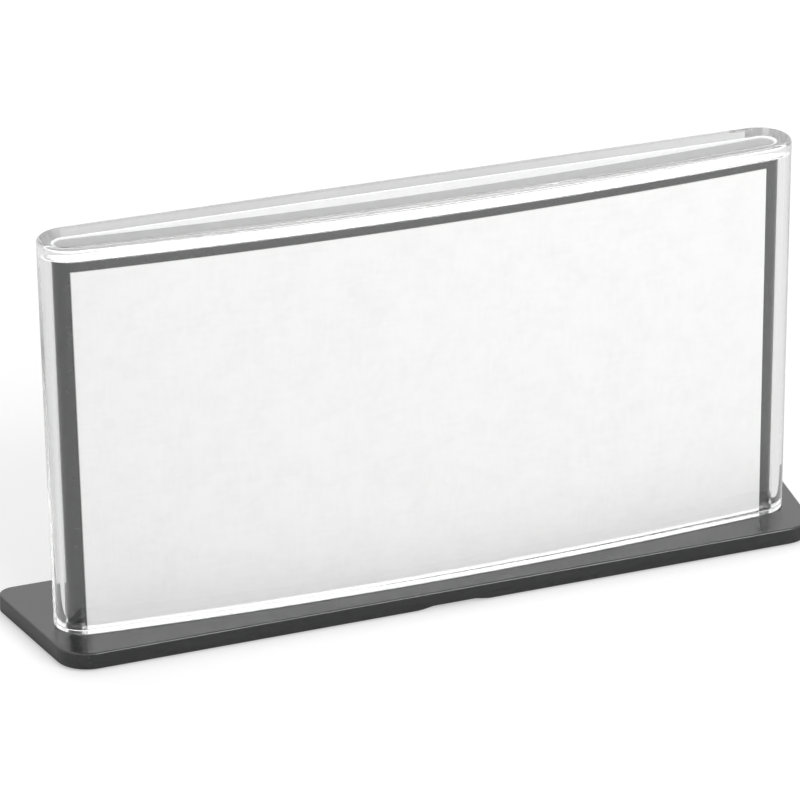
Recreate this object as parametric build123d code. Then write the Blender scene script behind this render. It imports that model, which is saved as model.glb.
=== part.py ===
"""Desk name plate: a clear slip-over hood on a charcoal base, with a bowed panel and its card inside."""
import os
from math import atan2, cos, pi, sin, sqrt

from build123d import *

# All sizes are in millimetres. X runs along the plate, the bowed front faces -Y, and +Z is up.

# Base plate
base_front_length = 164.0
base_back_length = 175.0
base_depth = 36.0
base_thickness = 3.6
base_front_corner = 7.0
base_back_corner = 3.5
base_edge_round = 0.4
relief_width = 16.5
relief_top_width = 9.2
relief_height = 0.65
relief_depth = 3.0

# Foot pads, let into the underside of the base
pad_diameter = 9.0
pad_thickness = 1.5
pad_stand = 0.5
pad_inset = 9.0
pad_edge_round = 0.3
pad_clearance = 0.1

# Clear hood
hood_length = 161.0
hood_end_depth = 13.4
hood_bow = 3.5
hood_height = 82.5
hood_wall = 3.7
hood_end_wall = 2.8
hood_top_wall = 3.3
hood_edge_round = 0.9
hood_ceiling_round = 0.5
hood_front_margin = 8.1
hood_seat_gap = 0.1

# Upright panel that backs the card
panel_end_gap = 0.5
panel_thickness = 5.2
panel_skin = 2.0
panel_rim = 2.0
panel_rib = 6.0
panel_end_round = 2.5
panel_edge_round = 0.5
panel_top_gap = 0.3
panel_seat_depth = 0.8
panel_seat_clearance = 0.15
card_space = 0.5

# Card
card_end_margin = 3.2
card_top_margin = 2.2
card_thickness = 0.3
card_clearance = 0.05

# Screws from below that hold the panel
screw_count = 3
screw_spacing = 55.0
screw_diameter = 2.6
screw_length = 11.0
screw_head_diameter = 4.8
screw_head_height = 1.3
screw_recess_width = 0.7
screw_recess_length = 2.8
screw_recess_depth = 0.7
screw_clearance = 0.1
pilot_overrun = 1.0

# One overrun for all cuts that break through a face
cut_overrun = 1.0

# Heights
base_bottom_z = pad_stand
base_top_z = base_bottom_z + base_thickness
hood_bottom_z = base_top_z + hood_seat_gap
hood_top_z = hood_bottom_z + hood_height
hood_ceiling_z = hood_top_z - hood_top_wall
panel_bottom_z = base_top_z - panel_seat_depth
panel_top_z = hood_ceiling_z - panel_top_gap
card_top_z = panel_top_z - card_top_margin

# Hood plan: round ends joined by a flat back and by one long arc, which bows the front
end_radius = hood_end_depth / 2
hood_back_y = hood_front_margin + hood_end_depth - base_depth / 2
end_x = hood_length / 2 - end_radius
end_y = hood_back_y - end_radius
bow_front_y = hood_back_y - hood_end_depth - hood_bow
bow_reach = end_y - bow_front_y
bow_radius = (end_x**2 + bow_reach**2 - end_radius**2) / (2 * (bow_reach - end_radius))
bow_centre_y = bow_front_y + bow_radius
panel_length = hood_length - 2 * (hood_end_wall + panel_end_gap)
panel_front_radius = bow_radius - hood_wall - card_space
panel_mid_radius = panel_front_radius - panel_thickness / 2
card_length = panel_length - 2 * card_end_margin


def bow_point(x, radius):
    """The point at this X on an arc about the bow's centre."""
    return (x, bow_centre_y - sqrt(radius**2 - x**2))


def hood_plan(inset, end_inset):
    """The hood's plan, drawn in from its outside by one inset at the front and back and one at the ends."""
    reach = hood_length / 2 - end_inset
    back_y = hood_back_y - inset
    front_radius = bow_radius - inset
    # The round end touches the back, the bow and the end
    rise = back_y - bow_centre_y
    half = front_radius - reach - rise
    radius = sqrt(half**2 + front_radius**2 - reach**2 - rise**2) - half
    x = reach - radius
    y = back_y - radius
    join_angle = atan2(y - bow_centre_y, x)
    middle_angle = (pi / 2 + join_angle) / 2
    back = (x, back_y)
    middle = (x + radius * cos(middle_angle), y + radius * sin(middle_angle))
    join = (x + radius * cos(join_angle), y + radius * sin(join_angle))
    with BuildSketch() as plan:
        with BuildLine():
            Line((-back[0], back[1]), back)
            ThreePointArc(back, middle, join)
            ThreePointArc(join, (0, bow_front_y + inset), (-join[0], join[1]))
            ThreePointArc((-join[0], join[1]), (-middle[0], middle[1]), (-back[0], back[1]))
        make_face()
    return plan.sketch


def bowed_strip(length, front_radius, back_radius):
    """A strip between two arcs about the bow's centre, cut square at its ends."""
    reach = length / 2
    front = bow_point(reach, front_radius)
    back = bow_point(reach, back_radius)
    with BuildSketch() as plan:
        with BuildLine():
            ThreePointArc((-front[0], front[1]), bow_point(0, front_radius), front)
            Line(front, back)
            ThreePointArc(back, bow_point(0, back_radius), (-back[0], back[1]))
            Line((-back[0], back[1]), (-front[0], front[1]))
        make_face()
    return plan.sketch


def panel_plan(growth):
    """The panel's plan with its round ends, grown on every side by the growth."""
    front_radius = panel_front_radius + growth
    back_radius = panel_front_radius - panel_thickness - growth
    strip = bowed_strip(panel_length + 2 * growth, front_radius, back_radius)
    return fillet(strip.vertices(), panel_end_round + growth)


def screw_places():
    """Where the screws stand, along the middle of the panel's thickness."""
    first = -(screw_count - 1) / 2
    return [bow_point((first + index) * screw_spacing, panel_mid_radius) for index in range(screw_count)]


def pad_places():
    """Where the foot pads sit, by name."""
    front_x = base_front_length / 2 - pad_inset
    back_x = base_back_length / 2 - pad_inset
    y = base_depth / 2 - pad_inset
    return {
        "front_left": (-front_x, -y),
        "front_right": (front_x, -y),
        "back_left": (-back_x, y),
        "back_right": (back_x, y),
    }


def make_base_plate():
    """The plate that everything stands on, with its seat, screw holes, pad recesses and front relief."""
    front_y = -base_depth / 2
    back_y = base_depth / 2
    with BuildSketch() as plan:
        with BuildLine():
            Polyline(
                (-base_front_length / 2, front_y),
                (base_front_length / 2, front_y),
                (base_back_length / 2, back_y),
                (-base_back_length / 2, back_y),
                close=True,
            )
        make_face()
        fillet(plan.vertices().group_by(Axis.Y)[0], base_front_corner)
        fillet(plan.vertices().group_by(Axis.Y)[-1], base_back_corner)
    plate = Pos(0, 0, base_bottom_z) * extrude(plan.sketch, amount=base_thickness)
    rims = plate.faces().sort_by(Axis.Z)[-1].edges() + plate.faces().sort_by(Axis.Z)[0].edges()
    plate = fillet(rims, base_edge_round)
    plate -= Pos(0, 0, panel_bottom_z) * extrude(
        panel_plan(panel_seat_clearance), amount=panel_seat_depth + cut_overrun
    )
    for x, y in screw_places():
        plate -= Pos(x, y, base_bottom_z) * screw_hole()
    for x, y in pad_places().values():
        recess = Cylinder(
            pad_diameter / 2 + pad_clearance,
            pad_thickness - pad_stand + cut_overrun,
            align=(Align.CENTER, Align.CENTER, Align.MAX),
        )
        plate -= Pos(x, y, pad_thickness) * recess
    plate -= Pos(0, front_y + relief_depth, base_bottom_z) * extrude(
        relief_section(), amount=relief_depth + cut_overrun
    )
    return plate


def relief_section():
    """The section of the front relief from its mouth on the XY plane up, with sloped ends."""
    mouth = relief_width / 2
    top = relief_top_width / 2
    with BuildSketch(Plane.XZ) as section:
        with BuildLine():
            Polyline(
                (-mouth, -cut_overrun),
                (mouth, -cut_overrun),
                (mouth, 0),
                (top, relief_height),
                (-top, relief_height),
                (-mouth, 0),
                close=True,
            )
        make_face()
    return section.sketch


def screw_hole():
    """The countersunk hole for one screw, from the underside of the base up."""
    head_radius = screw_head_diameter / 2 + screw_clearance
    shank_radius = screw_diameter / 2 + screw_clearance
    mouth = Cylinder(head_radius, cut_overrun, align=(Align.CENTER, Align.CENTER, Align.MAX))
    sink = Cone(
        head_radius, shank_radius, screw_head_height, align=(Align.CENTER, Align.CENTER, Align.MIN)
    )
    bore = Cylinder(
        shank_radius, base_thickness + cut_overrun, align=(Align.CENTER, Align.CENTER, Align.MIN)
    )
    return mouth + sink + bore


def make_screw():
    """One countersunk screw with a cross recess, its head's face on the XY plane."""
    upright = (Align.CENTER, Align.CENTER, Align.MIN)
    head = Cone(screw_head_diameter / 2, screw_diameter / 2, screw_head_height, align=upright)
    shank = Cylinder(screw_diameter / 2, screw_length, align=upright)
    screw = head + shank
    for length, width in (
        (screw_recess_length, screw_recess_width),
        (screw_recess_width, screw_recess_length),
    ):
        screw -= Box(length, width, screw_recess_depth, align=upright)
    return screw


def make_panel_screws():
    """The screws that hold the panel, as separate solids."""
    screw = make_screw()
    return Compound(children=[Pos(x, y, base_bottom_z) * screw for x, y in screw_places()])


def panel_pockets():
    """The hollows in the panel's back, which leave its skin, its rim and one rib over each screw."""
    skin_radius = panel_front_radius - panel_skin
    behind_radius = panel_front_radius - panel_thickness - cut_overrun
    bottom_z = base_top_z + panel_rim
    height = panel_top_z - panel_rim - bottom_z
    strip = bowed_strip(panel_length - 2 * panel_rim, skin_radius, behind_radius)
    pockets = Pos(0, 0, bottom_z) * extrude(strip, amount=height)
    rib = Box(panel_rib, base_depth, height, align=(Align.CENTER, Align.CENTER, Align.MIN))
    for x, y in screw_places():
        pockets -= Pos(x, y, bottom_z) * rib
    return pockets


def make_core_panel():
    """The upright panel, bowed like the hood's front, with a hollowed back and pilot holes for the screws."""
    panel = Pos(0, 0, panel_bottom_z) * extrude(panel_plan(0), amount=panel_top_z - panel_bottom_z)
    panel = fillet(panel.faces().sort_by(Axis.Z)[-1].edges(), panel_edge_round)
    panel -= panel_pockets()
    pilot_depth = base_bottom_z + screw_length + pilot_overrun - panel_bottom_z
    pilot = Cylinder(
        screw_diameter / 2 + screw_clearance / 2,
        pilot_depth + cut_overrun,
        align=(Align.CENTER, Align.CENTER, Align.MIN),
    )
    for x, y in screw_places():
        panel -= Pos(x, y, panel_bottom_z - cut_overrun) * pilot
    return panel


def make_name_card():
    """The card, bent along the panel's front and standing on the base."""
    back_radius = panel_front_radius + card_clearance
    strip = bowed_strip(card_length, back_radius + card_thickness, back_radius)
    return Pos(0, 0, base_top_z) * extrude(strip, amount=card_top_z - base_top_z)


def make_clear_hood():
    """The clear cover: flat back, bowed front, round ends and a closed top, open underneath."""
    shell = Pos(0, 0, hood_bottom_z) * extrude(hood_plan(0, 0), amount=hood_height)
    shell = fillet(shell.faces().sort_by(Axis.Z)[-1].edges(), hood_edge_round)
    hollow_bottom_z = hood_bottom_z - cut_overrun
    hollow = Pos(0, 0, hollow_bottom_z) * extrude(
        hood_plan(hood_wall, hood_end_wall), amount=hood_ceiling_z - hollow_bottom_z
    )
    hollow = fillet(hollow.faces().sort_by(Axis.Z)[-1].edges(), hood_ceiling_round)
    return shell - hollow


def make_foot_pad():
    """One round rubber pad, rounded where it stands on the desk."""
    pad = Cylinder(pad_diameter / 2, pad_thickness, align=(Align.CENTER, Align.CENTER, Align.MIN))
    return fillet(pad.faces().sort_by(Axis.Z)[0].edges(), pad_edge_round)


def main():
    """Builds every piece and writes one STEP file for each."""
    pieces = {
        "base_plate": make_base_plate(),
        "core_panel": make_core_panel(),
        "name_card": make_name_card(),
        "clear_hood": make_clear_hood(),
        "panel_screws": make_panel_screws(),
    }
    pad = make_foot_pad()
    for name, (x, y) in pad_places().items():
        pieces[f"foot_pad_{name}"] = Pos(x, y, 0) * pad
    os.makedirs("parts", exist_ok=True)
    for name, piece in pieces.items():
        export_step(piece, f"parts/{name}.step")


if __name__ == "__main__":
    main()
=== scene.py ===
"""Desk name plate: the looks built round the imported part, in metres and in the part's own frame."""
import logging
import math
from dataclasses import dataclass, field
from enum import Enum
from typing import Any, Mapping, Optional, Sequence, Union

import bpy
from mathutils import Matrix, Vector


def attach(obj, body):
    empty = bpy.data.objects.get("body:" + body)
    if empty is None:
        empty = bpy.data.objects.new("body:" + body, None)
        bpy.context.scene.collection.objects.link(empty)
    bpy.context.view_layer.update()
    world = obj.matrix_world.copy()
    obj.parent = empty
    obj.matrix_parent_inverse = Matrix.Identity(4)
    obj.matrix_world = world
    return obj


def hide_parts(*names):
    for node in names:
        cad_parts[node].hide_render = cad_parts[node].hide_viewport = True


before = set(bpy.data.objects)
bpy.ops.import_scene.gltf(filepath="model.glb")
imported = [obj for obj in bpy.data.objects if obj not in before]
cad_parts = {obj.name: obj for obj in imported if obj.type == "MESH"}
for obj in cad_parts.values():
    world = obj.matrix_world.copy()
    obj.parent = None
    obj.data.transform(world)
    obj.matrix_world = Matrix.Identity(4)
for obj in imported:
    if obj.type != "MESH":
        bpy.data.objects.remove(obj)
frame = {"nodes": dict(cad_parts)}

LOG = logging.getLogger("name_plate")
IMAGE_SIDE = 800

Colour = tuple[float, float, float]
Point = tuple[float, float, float]
Band = tuple[float, float]


class Body(Enum):
    """The two bodies of the part that a piece can ride on."""

    STAND = "stand"
    HOOD = "hood"


class Slot(Enum):
    """The record's material slots."""

    CHARCOAL = "charcoal_plastic"
    CARD = "white_card"
    CLEAR = "clear_plastic"
    STEEL = "screw_steel"
    RUBBER = "pad_rubber"


class Signal:
    """A node's output that takes part in Python arithmetic: each operator adds one Math node."""

    def __init__(self, graph: "Graph", socket: bpy.types.NodeSocket) -> None:
        """Keeps the output and the graph that it belongs to."""
        self.graph = graph
        self.socket = socket

    def _math(self, operation: str, *values: "Feed") -> "Signal":
        """Adds one Math node.

        Args:
            operation: Blender's name of the operation.
            values: The values or links of its inputs, in order.

        Returns:
            The result.
        """
        return self.graph.get("ShaderNodeMath", {"operation": operation}, dict(enumerate(values)))

    def __add__(self, other: "Feed") -> "Signal":
        """self + other."""
        return self._math("ADD", self, other)

    def __radd__(self, other: "Feed") -> "Signal":
        """other + self."""
        return self._math("ADD", other, self)

    def __sub__(self, other: "Feed") -> "Signal":
        """self - other."""
        return self._math("SUBTRACT", self, other)

    def __rsub__(self, other: "Feed") -> "Signal":
        """other - self."""
        return self._math("SUBTRACT", other, self)

    def __mul__(self, other: "Feed") -> "Signal":
        """self * other."""
        return self._math("MULTIPLY", self, other)

    def __rmul__(self, other: "Feed") -> "Signal":
        """other * self."""
        return self._math("MULTIPLY", other, self)

    def __neg__(self) -> "Signal":
        """-self."""
        return self._math("MULTIPLY", self, -1.0)

    def __abs__(self) -> "Signal":
        """The size of self without its sign."""
        return self._math("ABSOLUTE", self)

    def most(self, other: "Feed") -> "Signal":
        """The larger of self and other."""
        return self._math("MAXIMUM", self, other)

    def root(self) -> "Signal":
        """The square root."""
        return self._math("SQRT", self)

    def ramp(self, start: float, end: float) -> "Signal":
        """A soft step.

        Args:
            start: Where the result is 0.
            end: Where the result is 1.

        Returns:
            The step, smooth at both ends.
        """
        settings = {"interpolation_type": "SMOOTHSTEP"}
        return self.graph.get(
            "ShaderNodeMapRange", settings, {"Value": self, "From Min": start, "From Max": end}
        )


Feed = Union[float, int, bool, str, Sequence[float], Signal, bpy.types.ID]


class Graph:
    """A node tree that is written as Python expressions."""

    def __init__(self, tree: bpy.types.NodeTree) -> None:
        """Starts from an empty tree."""
        self.tree = tree
        tree.nodes.clear()

    def node(
        self,
        kind: str,
        settings: Optional[Mapping[str, Any]] = None,
        inputs: Optional[Mapping[Union[str, int], Feed]] = None,
    ) -> bpy.types.Node:
        """Adds one node.

        Args:
            kind: Blender's type name of the node.
            settings: Its properties, which are set first.
            inputs: The values or links of its sockets, by name or place.

        Returns:
            The node.
        """
        node = self.tree.nodes.new(kind)
        for name, value in (settings or {}).items():
            setattr(node, name, value)
        for key, value in (inputs or {}).items():
            socket = node.inputs[key]
            if isinstance(value, Signal):
                self.tree.links.new(value.socket, socket)
            else:
                socket.default_value = value
        return node

    def get(
        self,
        kind: str,
        settings: Optional[Mapping[str, Any]] = None,
        inputs: Optional[Mapping[Union[str, int], Feed]] = None,
        output: Union[str, int] = 0,
    ) -> Signal:
        """Adds one node and gives one of its outputs, with the arguments of node."""
        return Signal(self, self.node(kind, settings, inputs).outputs[output])

    def mix(self, factor: Feed, first: Feed, second: Feed) -> Signal:
        """Blends two colours.

        Args:
            factor: The share of the second colour.
            first: The first colour.
            second: The second colour.

        Returns:
            The blended colour.
        """
        ends = [value if isinstance(value, Signal) else (*value, 1.0) for value in (first, second)]
        inputs = {"Factor": factor, 6: ends[0], 7: ends[1]}
        return self.get("ShaderNodeMix", {"data_type": "RGBA"}, inputs, 2)

    def blend(self, factor: Feed, first: Signal, second: Signal) -> Signal:
        """Blends two shaders by the factor, which is the second one's share."""
        return self.get("ShaderNodeMixShader", None, {0: factor, 1: first, 2: second})

    def object_place(self, scale: Point = (1.0, 1.0, 1.0)) -> Signal:
        """The piece's own coordinates in metres, times the scale."""
        place = self.get("ShaderNodeTexCoord", output="Object")
        return self.get("ShaderNodeMapping", None, {"Vector": place, "Scale": scale})

    def noise(self, place: Signal, scale: float, detail: float = 2.0, rough: float = 0.5) -> Signal:
        """Cloudy noise.

        Args:
            place: The coordinates.
            scale: Clouds per metre.
            detail: How many finer layers are added.
            rough: How strong the finer layers are.

        Returns:
            The noise, from 0 to 1.
        """
        inputs = {"Vector": place, "Scale": scale, "Detail": detail, "Roughness": rough}
        return self.get("ShaderNodeTexNoise", {"noise_dimensions": "3D"}, inputs)

    def bump(self, height: Signal, depth: float) -> Signal:
        """A normal tilted by the height, whose full range is the depth in metres."""
        inputs = {"Strength": 1.0, "Distance": depth, "Height": height}
        return self.get("ShaderNodeBump", None, inputs)


def new_material(name: str) -> tuple[bpy.types.Material, Graph]:
    """Makes an empty material.

    Args:
        name: Its name.

    Returns:
        The material and the graph of its nodes.
    """
    material = bpy.data.materials.new(name)
    material.use_nodes = True
    return material, Graph(material.node_tree)


@dataclass(frozen=True)
class CharcoalPlastic:
    """Moulded charcoal plastic: fine grain, cloudy gloss and a painted highlight, a lighter colour in
    patches on the rounded edges.
    """

    name: str = "moulded_charcoal"
    deep: Colour = (0.008, 0.0085, 0.0085)
    pale: Colour = (0.022, 0.0225, 0.0225)
    edge_highlight_colour: Colour = (0.075, 0.077, 0.077)
    grain_scale: float = 2600.0
    grain_depth: float = 0.000016
    grain_gloss: float = 0.05
    speck_share: float = 0.45
    speck_band: Band = (0.35, 0.65)
    cloud_scale: float = 38.0
    cloud_band: Band = (0.25, 0.75)
    edge_band: Band = (0.25, 0.9)
    edge_highlight_band: Band = (0.35, 0.7)
    edge_highlight_share: float = 0.6
    gloss: float = 0.16
    gloss_spread: float = 0.05
    edge_gloss: float = 0.06
    ior: float = 1.66

    def material(self) -> bpy.types.Material:
        """The finish as a material."""
        material, graph = new_material(self.name)
        place = graph.object_place()
        grain = graph.noise(place, self.grain_scale, 3.0, 0.6)
        specks = graph.noise(place, self.grain_scale * self.speck_share, 1.0).ramp(*self.speck_band)
        cloud = graph.noise(place, self.cloud_scale, 4.0, 0.6)
        facing = graph.get("ShaderNodeTexCoord", output="Normal")
        upward = abs(graph.get("ShaderNodeSeparateXYZ", None, {0: facing}, "Z"))
        # Painted highlight: the rounded edges, picked out by how far their surface leans, get a
        # lighter colour in cloudy patches and a little less roughness.
        edge = (1.0 - abs(2.0 * upward - 1.0)).ramp(*self.edge_band)
        edge_highlight_mask = edge * cloud.ramp(*self.edge_highlight_band)
        body = graph.mix(specks, self.deep, self.pale)
        colour = graph.mix(edge_highlight_mask * self.edge_highlight_share, body, self.edge_highlight_colour)
        dulling = self.gloss_spread * cloud.ramp(*self.cloud_band) + self.grain_gloss * specks
        rough = self.gloss + dulling - self.edge_gloss * edge_highlight_mask
        shader = graph.get(
            "ShaderNodeBsdfPrincipled",
            None,
            {
                "Base Color": colour,
                "Roughness": rough,
                "IOR": self.ior,
                "Normal": graph.bump(grain, self.grain_depth),
            },
        )
        graph.node("ShaderNodeOutputMaterial", None, {"Surface": shader})
        return material


@dataclass(frozen=True)
class CardPaper:
    """White card stock: short fibres and a soft mottle."""

    name: str = "card_paper"
    white: Colour = (0.93, 0.93, 0.925)
    shade: Colour = (0.875, 0.875, 0.87)
    fibre_scale: float = 1500.0
    fibre_stretch: float = 5.0
    mottle_scale: float = 160.0
    fibre_share: float = 0.6
    tone_band: Band = (0.3, 0.62)
    fibre_depth: float = 0.000012
    roughness: float = 0.72
    fibre_gloss: float = 0.12

    def material(self) -> bpy.types.Material:
        """The finish as a material."""
        material, graph = new_material(self.name)
        stretch = self.fibre_stretch
        scale = self.fibre_scale / stretch
        along = graph.noise(graph.object_place((1.0, 1.0, stretch)), scale, 3.0)
        across = graph.noise(graph.object_place((stretch, 1.0, 1.0)), scale, 3.0)
        mottle = graph.noise(graph.object_place(), self.mottle_scale, 3.0, 0.6)
        fibre = 0.5 * along + 0.5 * across
        tone = self.fibre_share * fibre + (1.0 - self.fibre_share) * mottle
        colour = graph.mix(tone.ramp(*self.tone_band), self.shade, self.white)
        rough = self.roughness + self.fibre_gloss * fibre
        shader = graph.get(
            "ShaderNodeBsdfPrincipled",
            None,
            {
                "Base Color": colour,
                "Roughness": rough,
                "Normal": graph.bump(fibre, self.fibre_depth),
            },
        )
        graph.node("ShaderNodeOutputMaterial", None, {"Surface": shader})
        return material


@dataclass(frozen=True)
class ClearPlastic:
    """Clear moulded plastic, which lets the lamps' light through and may turn satin higher up."""

    name: str = "clear_moulding"
    tint: Colour = (0.988, 0.990, 0.989)
    ior: float = 1.59
    frost: float = 0.0
    frost_start: float = 0.045
    frost_full: float = 0.074
    haze: float = 0.012
    least_haze: float = 0.4
    wave_scale: float = 55.0
    wave_band: Band = (0.3, 0.8)
    wave_depth: float = 0.000012
    wear_scale: float = 900.0
    wear_stretch: float = 0.15
    wear_band: Band = (0.66, 0.8)

    def material(self) -> bpy.types.Material:
        """The finish as a material."""
        material, graph = new_material(self.name)
        place = graph.object_place()
        cloud = graph.noise(place, self.wave_scale, 2.0)
        wear = graph.noise(graph.object_place((1.0, 1.0, self.wear_stretch)), self.wear_scale, 3.0)
        clouded = self.least_haze + cloud.ramp(*self.wave_band)
        rough = self.haze * (clouded + wear.ramp(*self.wear_band))
        if self.frost:
            height = graph.get("ShaderNodeSeparateXYZ", None, {0: place}, "Z")
            rough = rough + self.frost * height.ramp(self.frost_start, self.frost_full)
        solid = graph.get(
            "ShaderNodeBsdfPrincipled",
            None,
            {
                "Base Color": (*self.tint, 1.0),
                "Roughness": rough,
                "IOR": self.ior,
                "Transmission Weight": 1.0,
                "Normal": graph.bump(cloud, self.wave_depth),
            },
        )
        clear = graph.get("ShaderNodeBsdfTransparent", None, {"Color": (*self.tint, 1.0)})
        path = graph.node("ShaderNodeLightPath")
        lit = graph.blend(Signal(graph, path.outputs["Is Shadow Ray"]), solid, clear)
        bounced = graph.blend(Signal(graph, path.outputs["Is Diffuse Ray"]), lit, clear)
        graph.node("ShaderNodeOutputMaterial", None, {"Surface": bounced})
        return material


@dataclass(frozen=True)
class ScrewSteel:
    """Zinc-bright steel with turned rings and a soft cloud of dulling."""

    name: str = "screw_bright"
    bright: Colour = (0.62, 0.62, 0.61)
    dull: Colour = (0.46, 0.46, 0.45)
    cloud_scale: float = 700.0
    cloud_band: Band = (0.3, 0.7)
    ring_scale: float = 5200.0
    ring_stretch: float = 0.2
    ring_depth: float = 0.000004
    gloss: float = 0.24
    gloss_spread: float = 0.18

    def material(self) -> bpy.types.Material:
        """The finish as a material."""
        material, graph = new_material(self.name)
        cloud = graph.noise(graph.object_place(), self.cloud_scale, 3.0, 0.6)
        rings = graph.noise(graph.object_place((1.0, 1.0, self.ring_stretch)), self.ring_scale, 2.0)
        shader = graph.get(
            "ShaderNodeBsdfPrincipled",
            None,
            {
                "Base Color": graph.mix(cloud.ramp(*self.cloud_band), self.dull, self.bright),
                "Metallic": 1.0,
                "Roughness": self.gloss + self.gloss_spread * cloud,
                "Normal": graph.bump(rings, self.ring_depth),
            },
        )
        graph.node("ShaderNodeOutputMaterial", None, {"Surface": shader})
        return material


@dataclass(frozen=True)
class PadRubber:
    """Dark moulded rubber with a fine dusty grain."""

    name: str = "pad_rubber_black"
    deep: Colour = (0.012, 0.012, 0.012)
    dusty: Colour = (0.045, 0.044, 0.042)
    grain_scale: float = 3800.0
    grain_depth: float = 0.00002
    grain_gloss: float = 0.2
    dust_share: float = 0.12
    dust_band: Band = (0.45, 0.8)
    roughness: float = 0.74

    def material(self) -> bpy.types.Material:
        """The finish as a material."""
        material, graph = new_material(self.name)
        place = graph.object_place()
        grain = graph.noise(place, self.grain_scale, 3.0, 0.65)
        dust = graph.noise(place, self.grain_scale * self.dust_share, 4.0, 0.6)
        shader = graph.get(
            "ShaderNodeBsdfPrincipled",
            None,
            {
                "Base Color": graph.mix(dust.ramp(*self.dust_band), self.deep, self.dusty),
                "Roughness": self.roughness + self.grain_gloss * grain,
                "Normal": graph.bump(grain, self.grain_depth),
            },
        )
        graph.node("ShaderNodeOutputMaterial", None, {"Surface": shader})
        return material


def add_piece(name: str, mesh: bpy.types.Mesh) -> bpy.types.Object:
    """Puts a mesh in the scene as an object at the origin.

    Args:
        name: The piece's name.
        mesh: Its mesh, in place.

    Returns:
        The object.
    """
    piece = bpy.data.objects.new(name, mesh)
    bpy.context.scene.collection.objects.link(piece)
    return piece


class GeometryRecipe:
    """A Geometry Nodes tree with named sizes, which is turned into a plain mesh once built."""

    def __init__(self, name: str) -> None:
        """Starts an empty tree with its geometry output."""
        self.name = name
        self.tree = bpy.data.node_groups.new(name, "GeometryNodeTree")
        self.graph = Graph(self.tree)
        self.tree.interface.new_socket(
            "Geometry", in_out="OUTPUT", socket_type="NodeSocketGeometry"
        )
        self.entry = self.tree.nodes.new("NodeGroupInput")
        self.values: dict[str, float] = {}

    def size(self, name: str, value: float) -> Signal:
        """Adds one named size.

        Args:
            name: The input's name.
            value: Its value, in metres unless it is a share.

        Returns:
            The size as a value of the tree.
        """
        socket = self.tree.interface.new_socket(
            name, in_out="INPUT", socket_type="NodeSocketFloat"
        )
        self.values[socket.identifier] = value
        return Signal(self.graph, self.entry.outputs[name])

    def make(self, geometry: Signal, material: bpy.types.Material) -> bpy.types.Mesh:
        """Ends the tree and evaluates it.

        Args:
            geometry: The geometry to keep.
            material: The material that it gets.

        Returns:
            The result as a plain mesh.
        """
        graph = self.graph
        real = graph.get("GeometryNodeRealizeInstances", None, {0: geometry})
        dressed = graph.get(
            "GeometryNodeSetMaterial", None, {"Geometry": real, "Material": material}
        )
        graph.node("NodeGroupOutput", None, {0: dressed})
        holder = add_piece(f"{self.name}_holder", bpy.data.meshes.new(f"{self.name}_holder"))
        modifier = holder.modifiers.new(self.name, "NODES")
        modifier.node_group = self.tree
        for identifier, value in self.values.items():
            modifier[identifier] = value
        depsgraph = bpy.context.evaluated_depsgraph_get()
        depsgraph.update()
        mesh = bpy.data.meshes.new_from_object(
            holder.evaluated_get(depsgraph), preserve_all_data_layers=True, depsgraph=depsgraph
        )
        holder.modifiers.clear()
        bpy.data.objects.remove(holder)
        return mesh


def smooth_by_angle(mesh: bpy.types.Mesh, degrees: float) -> None:
    """Shades a mesh smooth, except over edges that turn by more than the angle."""
    mesh.shade_smooth()
    mesh.set_sharp_from_angle(angle=math.radians(degrees))


@dataclass(frozen=True)
class BowPlan:
    """The plan of the hood and what stands in it: round ends, a flat back and a long front arc."""

    length: float = 0.161
    end_depth: float = 0.0134
    bow: float = 0.0035
    back_y: float = 0.0035

    @property
    def end_radius(self) -> float:
        """The radius of the round ends."""
        return self.end_depth / 2

    @property
    def end_x(self) -> float:
        """How far the centre of a round end is from the middle."""
        return self.length / 2 - self.end_radius

    @property
    def end_y(self) -> float:
        """Where the centre of a round end is from front to back."""
        return self.back_y - self.end_radius

    @property
    def front_radius(self) -> float:
        """The radius of the long front arc."""
        reach = self.end_depth + self.bow - self.end_radius
        return (self.end_x**2 + reach**2 - self.end_radius**2) / (2 * (reach - self.end_radius))

    @property
    def front_centre_y(self) -> float:
        """Where the centre of the long front arc is."""
        return self.back_y - self.end_depth - self.bow + self.front_radius

    def inside(self, wall: float, end_wall: float) -> "BowPlan":
        """The plan of the hollow, drawn in by the walls.

        Args:
            wall: The wall at the front and at the back.
            end_wall: The wall at the ends.

        Returns:
            The hollow's plan, whose front arc has the same centre.
        """
        reach = self.length / 2 - end_wall
        back_y = self.back_y - wall
        front = self.front_radius - wall
        rise = back_y - self.front_centre_y
        half = front - reach - rise
        end_depth = 2 * (math.sqrt(half**2 + front**2 - reach**2 - rise**2) - half)
        bow = back_y - end_depth - (self.front_centre_y - front)
        return BowPlan(2 * reach, end_depth, bow, back_y)

    def outline(
        self, end_steps: int, front_steps: int, back_steps: int
    ) -> list[tuple[Vector, Vector]]:
        """Goes round the plan from the back right corner by the left, the front and the right.

        Args:
            end_steps: Steps on each round end.
            front_steps: Steps on the front arc.
            back_steps: Steps on the flat back.

        Returns:
            Points with their outward directions.
        """
        join = math.atan2(self.end_y - self.front_centre_y, self.end_x)
        straight_back = math.pi / 2
        points: list[tuple[Vector, Vector]] = []
        for step in range(back_steps):
            x = self.end_x * (1 - 2 * step / back_steps)
            points.append((Vector((x, self.back_y)), Vector((0.0, 1.0))))
        left = Vector((-self.end_x, self.end_y))
        right = Vector((self.end_x, self.end_y))
        middle = Vector((0.0, self.front_centre_y))
        spans = (
            (left, self.end_radius, straight_back, math.pi - join, end_steps),
            (middle, self.front_radius, -math.pi - join, join, front_steps),
            (right, self.end_radius, join, straight_back, end_steps),
        )
        for centre, radius, start, end, steps in spans:
            for step in range(steps):
                angle = start + (end - start) * step / steps
                outward = Vector((math.cos(angle), math.sin(angle)))
                points.append((centre + radius * outward, outward))
        return points


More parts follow.
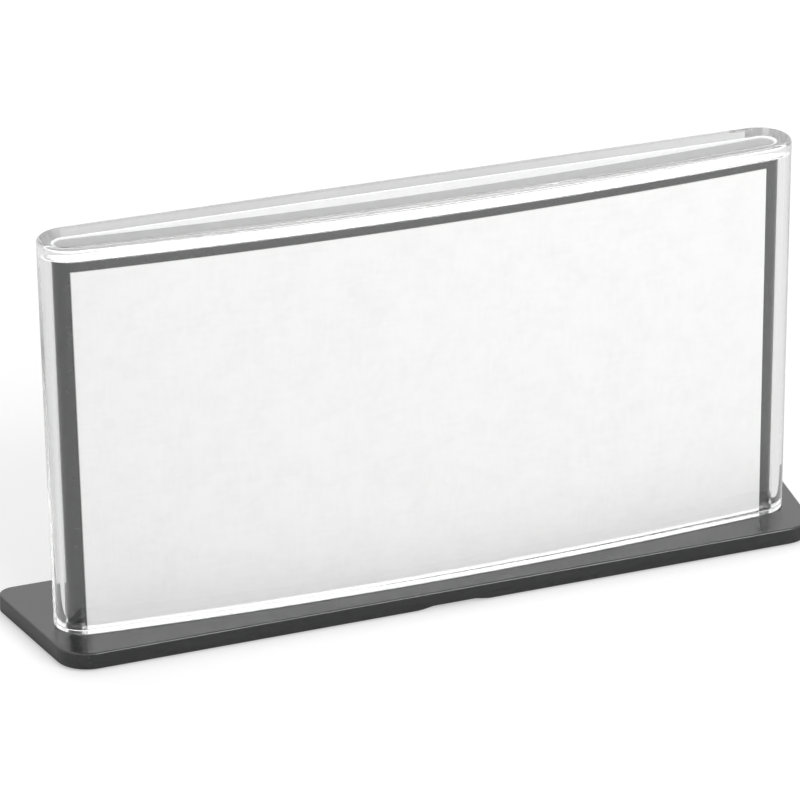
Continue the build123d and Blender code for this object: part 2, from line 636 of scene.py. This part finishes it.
@dataclass
class ClearHood:
    """The clear slip-over cover: a shell round the plan, with round edges and an open foot."""

    plan: BowPlan
    finish: ClearPlastic = field(default_factory=ClearPlastic)
    back: ClearPlastic = ClearPlastic("satin_moulding", frost=0.9, haze=0.03)
    bottom_z: float = 0.0042
    height: float = 0.0825
    wall: float = 0.0037
    end_wall: float = 0.0028
    top_wall: float = 0.0033
    edge_round: float = 0.0009
    ceiling_round: float = 0.0005
    foot_round: float = 0.0002
    end_steps: int = 44
    front_steps: int = 170
    back_steps: int = 60
    edge_steps: int = 14
    foot_steps: int = 6
    ceiling_steps: int = 10

    @property
    def top_z(self) -> float:
        """The height of the top face."""
        return self.bottom_z + self.height

    @property
    def ceiling_z(self) -> float:
        """The height of the hollow's ceiling."""
        return self.top_z - self.top_wall

    def section(self) -> list[tuple[bool, float, float, float, float]]:
        """Follows the shell's section from the top face down outside and up inside.

        Returns:
            Whether the row belongs to the hollow, its inset from its own plan, its height, and the
            outward and upward parts of the surface's direction.
        """
        edge = self.top_z - self.edge_round
        foot = self.bottom_z + self.foot_round
        bend = self.ceiling_z - self.ceiling_round
        quarter = math.pi / 2
        bends = (
            (False, self.edge_round, edge, quarter, 0.0, self.edge_steps),
            (False, 0.0, self.ceiling_z, 0.0, 0.0, 0),
            (False, self.foot_round, foot, 0.0, -quarter, self.foot_steps),
            (True, -self.foot_round, foot, -quarter, -math.pi, self.foot_steps),
            (True, self.ceiling_round, bend, 0.0, quarter, self.ceiling_steps),
        )
        rows = []
        for hollow, inset, height, start, end, steps in bends:
            radius = abs(inset)
            side = -1.0 if hollow and inset > 0.0 else 1.0
            for step in range(steps + 1):
                angle = start + (end - start) * step / max(steps, 1)
                out, up = math.cos(angle), math.sin(angle)
                spot = (inset - radius * out, height + radius * up)
                rows.append((hollow, *spot, side * out, side * up))
        return rows

    def build(self) -> bpy.types.Object:
        """Makes the shell's mesh with its true surface directions.

        Returns:
            The piece.
        """
        steps = (self.end_steps, self.front_steps, self.back_steps)
        outside = self.plan.outline(*steps)
        inside = self.plan.inside(self.wall, self.end_wall).outline(*steps)
        rows = self.section()
        count = len(outside)
        places: list[Point] = []
        normals: list[Point] = []
        for hollow, inset, height, out, up in rows:
            for point, outward in inside if hollow else outside:
                spot = point - inset * outward
                places.append((spot.x, spot.y, height))
                normals.append((outward.x * out, outward.y * out, up))
        faces: list[list[int]] = [list(range(count))]
        for row in range(len(rows) - 1):
            upper, lower = row * count, (row + 1) * count
            for step in range(count):
                after = (step + 1) % count
                faces.append([upper + step, lower + step, lower + after, upper + after])
        last = (len(rows) - 1) * count
        faces.append([last + step for step in reversed(range(count))])
        mesh = bpy.data.meshes.new("clear_cover")
        mesh.from_pydata(places, [], faces)
        mesh.shade_smooth()
        mesh.normals_split_custom_set_from_vertices(normals)
        mesh.materials.append(self.finish.material())
        mesh.materials.append(self.back.material())
        # The flat back's outer faces below the ceiling take the second finish
        below = max(
            row
            for row, (hollow, _, height, _, _) in enumerate(rows)
            if not hollow and height == self.ceiling_z
        )
        for step in range(self.back_steps):
            mesh.polygons[1 + below * count + step].material_index = 1
        return add_piece("clear_cover", mesh)

    def dress(self, piece: bpy.types.Object) -> None:
        """Gives the shell its place in the frame."""
        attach(piece, Body.HOOD.value)
        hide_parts("clear_hood")


@dataclass
class InsertCard:
    """The card, bent along the panel's front and slipped up a little at its right end."""

    plan: BowPlan
    finish: CardPaper = field(default_factory=CardPaper)
    length: float = 0.148
    height: float = 0.0768
    thickness: float = 0.0003
    bottom_z: float = 0.0041
    inset: float = 0.00415
    slip: float = 0.0031
    aside: float = -0.00055
    columns: int = 121
    rows: int = 41
    merge_share: float = 0.01
    smooth_angle: float = 30.0

    def build(self) -> bpy.types.Object:
        """Makes the card with a Geometry Nodes tree: a grid, thickened and bent.

        Returns:
            The piece.
        """
        recipe = GeometryRecipe("card_sheet")
        graph = recipe.graph
        length = recipe.size("Length", self.length)
        height = recipe.size("Height", self.height)
        thickness = recipe.size("Thickness", self.thickness)
        radius = recipe.size("Back Radius", self.plan.front_radius - self.inset)
        centre = recipe.size("Bow Centre", self.plan.front_centre_y)
        bottom = recipe.size("Bottom", self.bottom_z)
        slip = recipe.size("Slip", self.slip)
        aside = recipe.size("Aside", self.aside)
        counts = {"Vertices X": self.columns, "Vertices Y": self.rows}
        grid = graph.node(
            "GeometryNodeMeshGrid", None, {"Size X": length, "Size Y": height, **counts}
        )
        sheet = graph.get(
            "GeometryNodeStoreNamedAttribute",
            {"data_type": "FLOAT2", "domain": "CORNER"},
            {
                "Geometry": Signal(graph, grid.outputs["Mesh"]),
                "Name": "UVMap",
                "Value": Signal(graph, grid.outputs["UV Map"]),
            },
        )
        front = graph.get(
            "GeometryNodeExtrudeMesh",
            {"mode": "FACES"},
            {"Mesh": sheet, "Offset Scale": thickness, "Individual": False},
        )
        back = graph.get("GeometryNodeFlipFaces", None, {"Mesh": sheet})
        joined = graph.node("GeometryNodeJoinGeometry")
        for part in (back, front):
            graph.tree.links.new(part.socket, joined.inputs[0])
        closed = graph.get(
            "GeometryNodeMergeByDistance",
            None,
            {
                "Geometry": Signal(graph, joined.outputs[0]),
                "Distance": self.thickness * self.merge_share,
            },
        )
        spot = graph.get("GeometryNodeInputPosition")
        parts = graph.node("ShaderNodeSeparateXYZ", None, {0: spot})
        x, y, z = (Signal(graph, parts.outputs[axis]) for axis in range(3))
        reach = radius + z
        upright = y + 0.5 * height
        place = x - slip * upright + aside
        bent = graph.get(
            "ShaderNodeCombineXYZ",
            None,
            {
                0: place,
                1: centre - (reach * reach - place * place).root(),
                2: bottom + upright + slip * (x + 0.5 * length),
            },
        )
        curved = graph.get(
            "GeometryNodeSetPosition", None, {"Geometry": closed, "Position": bent}
        )
        mesh = recipe.make(curved, self.finish.material())
        mesh.name = "insert_card"
        smooth_by_angle(mesh, self.smooth_angle)
        return add_piece("insert_card", mesh)

    def dress(self, piece: bpy.types.Object) -> None:
        """Gives the card its place in the frame."""
        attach(piece, Body.STAND.value)
        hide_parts("name_card")


@dataclass
class FootPads:
    """Four round rubber pads with grip rings, let into the underside of the base."""

    finish: PadRubber = field(default_factory=PadRubber)
    radius: float = 0.0045
    thickness: float = 0.0015
    edge_round: float = 0.0003
    front_spread: float = 0.146
    back_spread: float = 0.157
    depth_spread: float = 0.018
    groove: float = 0.00025
    sides: int = 56
    edge_steps: int = 5
    first_ring_share: float = 0.82
    last_ring_share: float = 0.25
    land_share: float = 0.11
    slope_share: float = 0.03
    merge_share: float = 0.01
    smooth_angle: float = 35.0

    def profile(self) -> list[tuple[float, float]]:
        """The pad's turned profile from its top rim down and in to the middle.

        Returns:
            Steps of radius and height.
        """
        rows = [(self.radius, self.edge_round)]
        for step in range(1, self.edge_steps + 1):
            angle = math.pi / 2 * step / self.edge_steps
            inward = self.edge_round * (1 - math.cos(angle))
            rows.append((self.radius - inward, self.edge_round * (1 - math.sin(angle))))
        ring = self.radius * self.first_ring_share
        land = self.radius * self.land_share
        slope = self.radius * self.slope_share
        while ring > self.radius * self.last_ring_share:
            rows.append((ring, 0.0))
            rows.append((ring - slope, self.groove))
            rows.append((ring - land, self.groove))
            rows.append((ring - land - slope, 0.0))
            ring -= 2 * land + 2 * slope
        return rows

    def build(self) -> bpy.types.Object:
        """Makes the four pads with a Geometry Nodes tree: one turned pad on four corner points.

        Returns:
            The piece.
        """
        recipe = GeometryRecipe("grip_pads")
        graph = recipe.graph
        front = recipe.size("Front Spread", self.front_spread)
        back = recipe.size("Back Spread", self.back_spread)
        depth = recipe.size("Depth Spread", self.depth_spread)
        radius = recipe.size("Radius", self.radius)
        disc = graph.get(
            "GeometryNodeMeshCircle",
            {"fill_type": "NGON"},
            {"Vertices": self.sides, "Radius": radius},
        )
        rise = (0.0, 0.0, self.thickness)
        top = graph.get("GeometryNodeSetPosition", None, {"Geometry": disc, "Offset": rise})
        turned = graph.get("GeometryNodeFlipFaces", None, {"Mesh": top})
        face: Feed = True
        before = (self.radius, self.thickness)
        for ring, height in self.profile():
            step = graph.node(
                "GeometryNodeExtrudeMesh",
                {"mode": "FACES"},
                {
                    "Mesh": turned,
                    "Selection": face,
                    "Offset Scale": before[1] - height,
                    "Individual": False,
                },
            )
            face = Signal(graph, step.outputs["Top"])
            turned = graph.get(
                "GeometryNodeScaleElements",
                {"domain": "FACE"},
                {
                    "Geometry": Signal(graph, step.outputs["Mesh"]),
                    "Selection": face,
                    "Scale": ring / before[0],
                },
            )
            before = (ring, height)
        joined = graph.node("GeometryNodeJoinGeometry")
        for part in (top, turned):
            graph.tree.links.new(part.socket, joined.inputs[0])
        pad = graph.get(
            "GeometryNodeMergeByDistance",
            None,
            {
                "Geometry": Signal(graph, joined.outputs[0]),
                "Distance": self.groove * self.merge_share,
            },
        )
        corners = graph.get(
            "GeometryNodeMeshGrid",
            None,
            {"Size X": 1.0, "Size Y": 1.0, "Vertices X": 2, "Vertices Y": 2},
        )
        parts = graph.node(
            "ShaderNodeSeparateXYZ", None, {0: graph.get("GeometryNodeInputPosition")}
        )
        x, y = (Signal(graph, parts.outputs[axis]) for axis in range(2))
        spread = front + (back - front) * (y + 0.5)
        spot = graph.get("ShaderNodeCombineXYZ", None, {0: x * spread, 1: y * depth})
        places = graph.get(
            "GeometryNodeSetPosition", None, {"Geometry": corners, "Position": spot}
        )
        pads = graph.get(
            "GeometryNodeInstanceOnPoints", None, {"Points": places, "Instance": pad}
        )
        mesh = recipe.make(pads, self.finish.material())
        mesh.name = "grip_pads"
        smooth_by_angle(mesh, self.smooth_angle)
        return add_piece("grip_pads", mesh)

    def dress(self, piece: bpy.types.Object) -> None:
        """Gives the pads their place in the frame."""
        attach(piece, Body.STAND.value)
        corners = ("front_left", "front_right", "back_left", "back_right")
        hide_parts(*(f"foot_pad_{corner}" for corner in corners))


@dataclass
class Stand:
    """The moulded base and panel and the screws between them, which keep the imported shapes."""

    charcoal: CharcoalPlastic = field(default_factory=CharcoalPlastic)
    steel: ScrewSteel = field(default_factory=ScrewSteel)

    def dress(self, nodes: Mapping[str, bpy.types.Object]) -> None:
        """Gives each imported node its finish.

        Args:
            nodes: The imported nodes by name.
        """
        charcoal = self.charcoal.material()
        steel = self.steel.material()
        for name, material in (
            ("base_plate", charcoal),
            ("core_panel", charcoal),
            ("panel_screws", steel),
        ):
            for slot in nodes[name].material_slots:
                slot.material = material
            LOG.info("%s: packed shape, finish %s", name, material.name)


@dataclass(frozen=True)
class Softbox:
    """One rectangular lamp, whose glow is told against white paper in full light, which is 1."""

    name: str
    place: Point
    target: Point
    width: float
    height: float
    glow: float

    def build(self) -> bpy.types.Object:
        """Makes the lamp and turns it to its target.

        Returns:
            The lamp.
        """
        data = bpy.data.lights.new(self.name, "AREA")
        data.shape = "RECTANGLE"
        data.size = self.width
        data.size_y = self.height
        data.energy = self.glow * math.pi * self.width * self.height
        lamp = bpy.data.objects.new(self.name, data)
        bpy.context.scene.collection.objects.link(lamp)
        aim = Vector(self.target) - Vector(self.place)
        turn = aim.to_track_quat("-Z", "Y").to_matrix().to_4x4()
        lamp.matrix_world = Matrix.Translation(self.place) @ turn
        lamp.visible_camera = False
        return lamp


@dataclass
class Studio:
    """A pale floor, an even white surround and soft lamps."""

    surround: float = 0.55
    floor_white: float = 0.60
    floor_lift: float = 0.22
    open_lift: float = 0.46
    # The painted pool of light in the floor's reflections: where it starts and where it is full,
    # across and forward.
    painted_pool_right: Band = (-0.11, 0.0)
    painted_pool_front: Band = (0.025, 0.06)
    floor_radius: float = 3.0
    floor_sides: int = 96
    fade: Band = (0.35, 0.9)
    bounces: int = 64
    lamps: tuple[Softbox, ...] = (
        Softbox("back_softbox", (0.30, 0.85, 0.52), (0.0, 0.0, 0.04), 1.3, 0.6, 0.28),
        Softbox("top_softbox", (0.10, 0.50, 0.95), (0.0, 0.0, 0.05), 0.8, 0.6, 1.6),
        Softbox("front_softbox", (0.34, -0.98, 0.70), (0.0, 0.0, 0.05), 0.9, 0.4, 7.9),
    )

    @staticmethod
    def rays(graph: Graph, *kinds: str) -> Signal:
        """Whether a ray is of one of the kinds, which are named as Light Path names them."""
        path = graph.node("ShaderNodeLightPath")
        first, *others = (Signal(graph, path.outputs[f"Is {kind} Ray"]) for kind in kinds)
        for other in others:
            first = first.most(other)
        return first

    def light_world(self) -> None:
        """Makes the surround: white where it is seen, and softer where it only lights."""
        world = bpy.data.worlds.new("white_surround")
        world.use_nodes = True
        graph = Graph(world.node_tree)
        seen = self.rays(graph, "Camera", "Glossy", "Transmission")
        strength = self.surround + (1.0 - self.surround) * seen
        white = graph.get(
            "ShaderNodeBackground", None, {"Color": (1.0, 1.0, 1.0, 1.0), "Strength": strength}
        )
        graph.node("ShaderNodeOutputWorld", None, {"Surface": white})
        bpy.context.scene.world = world

    def lay_floor(self) -> None:
        """Makes the floor, which keeps the object's shadow and fades to white far out, with a painted
        pool of light at the right front that only reflections see.
        """
        angles = [2 * math.pi * step / self.floor_sides for step in range(self.floor_sides)]
        rim = [
            (self.floor_radius * math.cos(angle), self.floor_radius * math.sin(angle), 0.0)
            for angle in angles
        ]
        mesh = bpy.data.meshes.new("pale_floor")
        mesh.from_pydata(rim, [], [list(range(self.floor_sides))])
        floor = add_piece("pale_floor", mesh)
        material, graph = new_material("pale_floor")
        place = graph.object_place()
        distance = graph.get("ShaderNodeVectorMath", {"operation": "LENGTH"}, {0: place}, "Value")
        far = distance.ramp(*self.fade)
        parts = graph.node("ShaderNodeSeparateXYZ", None, {0: place})
        right, front = Signal(graph, parts.outputs[0]), -Signal(graph, parts.outputs[1])
        # Painted pool of light: reflections see the floor lifted brighter at the right front, though
        # no lamp lights it more there.
        painted_light_pool = right.ramp(*self.painted_pool_right) * front.ramp(*self.painted_pool_front)
        direct = self.rays(graph, "Camera")
        through = self.rays(graph, "Transmission")
        mirrored = self.rays(graph, "Glossy") * (1.0 - through)
        white = (self.floor_white, self.floor_white, self.floor_white, 1.0)
        matt = graph.get("ShaderNodeBsdfDiffuse", None, {"Color": white})
        glow = self.open_lift * direct.most(mirrored * painted_light_pool) + self.floor_lift * through
        lift = graph.get("ShaderNodeEmission", None, {"Strength": glow})
        near = graph.get("ShaderNodeAddShader", None, {0: matt, 1: lift})
        open_white = graph.get("ShaderNodeEmission", None, {"Strength": 1.0})
        seen = direct.most(mirrored).most(through)
        surface = graph.blend(far * seen, near, open_white)
        graph.node("ShaderNodeOutputMaterial", None, {"Surface": surface})
        mesh.materials.append(material)

    def build(self) -> None:
        """Makes the floor, the surround and the lamps."""
        self.light_world()
        self.lay_floor()
        for lamp in self.lamps:
            lamp.build()
            LOG.info("%s: lamp", lamp.name)
        scene = bpy.context.scene
        scene.view_settings.view_transform = "Standard"
        scene.cycles.max_bounces = self.bounces
        scene.cycles.transmission_bounces = self.bounces
        scene.cycles.glossy_bounces = self.bounces


@dataclass(frozen=True)
class Viewpoint:
    """The camera at the photograph's viewing angle."""

    place: Point = (-0.289052, -0.738844, 0.378001)
    target: Point = (-0.008366, -0.0099, 0.044234)
    roll: float = -0.01122
    focal_pixels: float = 4219.8
    sensor: float = 36.0
    near: float = 0.01

    def build(self) -> bpy.types.Object:
        """Makes the camera.

        Returns:
            The camera.
        """
        data = bpy.data.cameras.new("front_left_view")
        data.sensor_width = self.sensor
        data.lens = self.focal_pixels * self.sensor / IMAGE_SIDE
        data.clip_start = self.near
        camera = bpy.data.objects.new("front_left_view", data)
        bpy.context.scene.collection.objects.link(camera)
        forward = (Vector(self.target) - Vector(self.place)).normalized()
        level = forward.cross(Vector((0.0, 0.0, 1.0))).normalized()
        upright = level.cross(forward)
        right = level * math.cos(self.roll) + upright * math.sin(self.roll)
        up = right.cross(forward)
        axes = Matrix((right, up, -forward)).transposed().to_4x4()
        camera.matrix_world = Matrix.Translation(self.place) @ axes
        bpy.context.scene.camera = camera
        return camera


def main() -> None:
    """Builds the camera and the studio, then each piece in order."""
    logging.basicConfig(level=logging.INFO, format="%(name)s: %(message)s")
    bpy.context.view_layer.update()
    Viewpoint().build()
    Studio().build()
    plan = BowPlan()
    Stand().dress(frame["nodes"])
    for assembly in (InsertCard(plan), ClearHood(plan), FootPads()):
        piece = assembly.build()
        assembly.dress(piece)


if __name__ == "__main__":
    main()
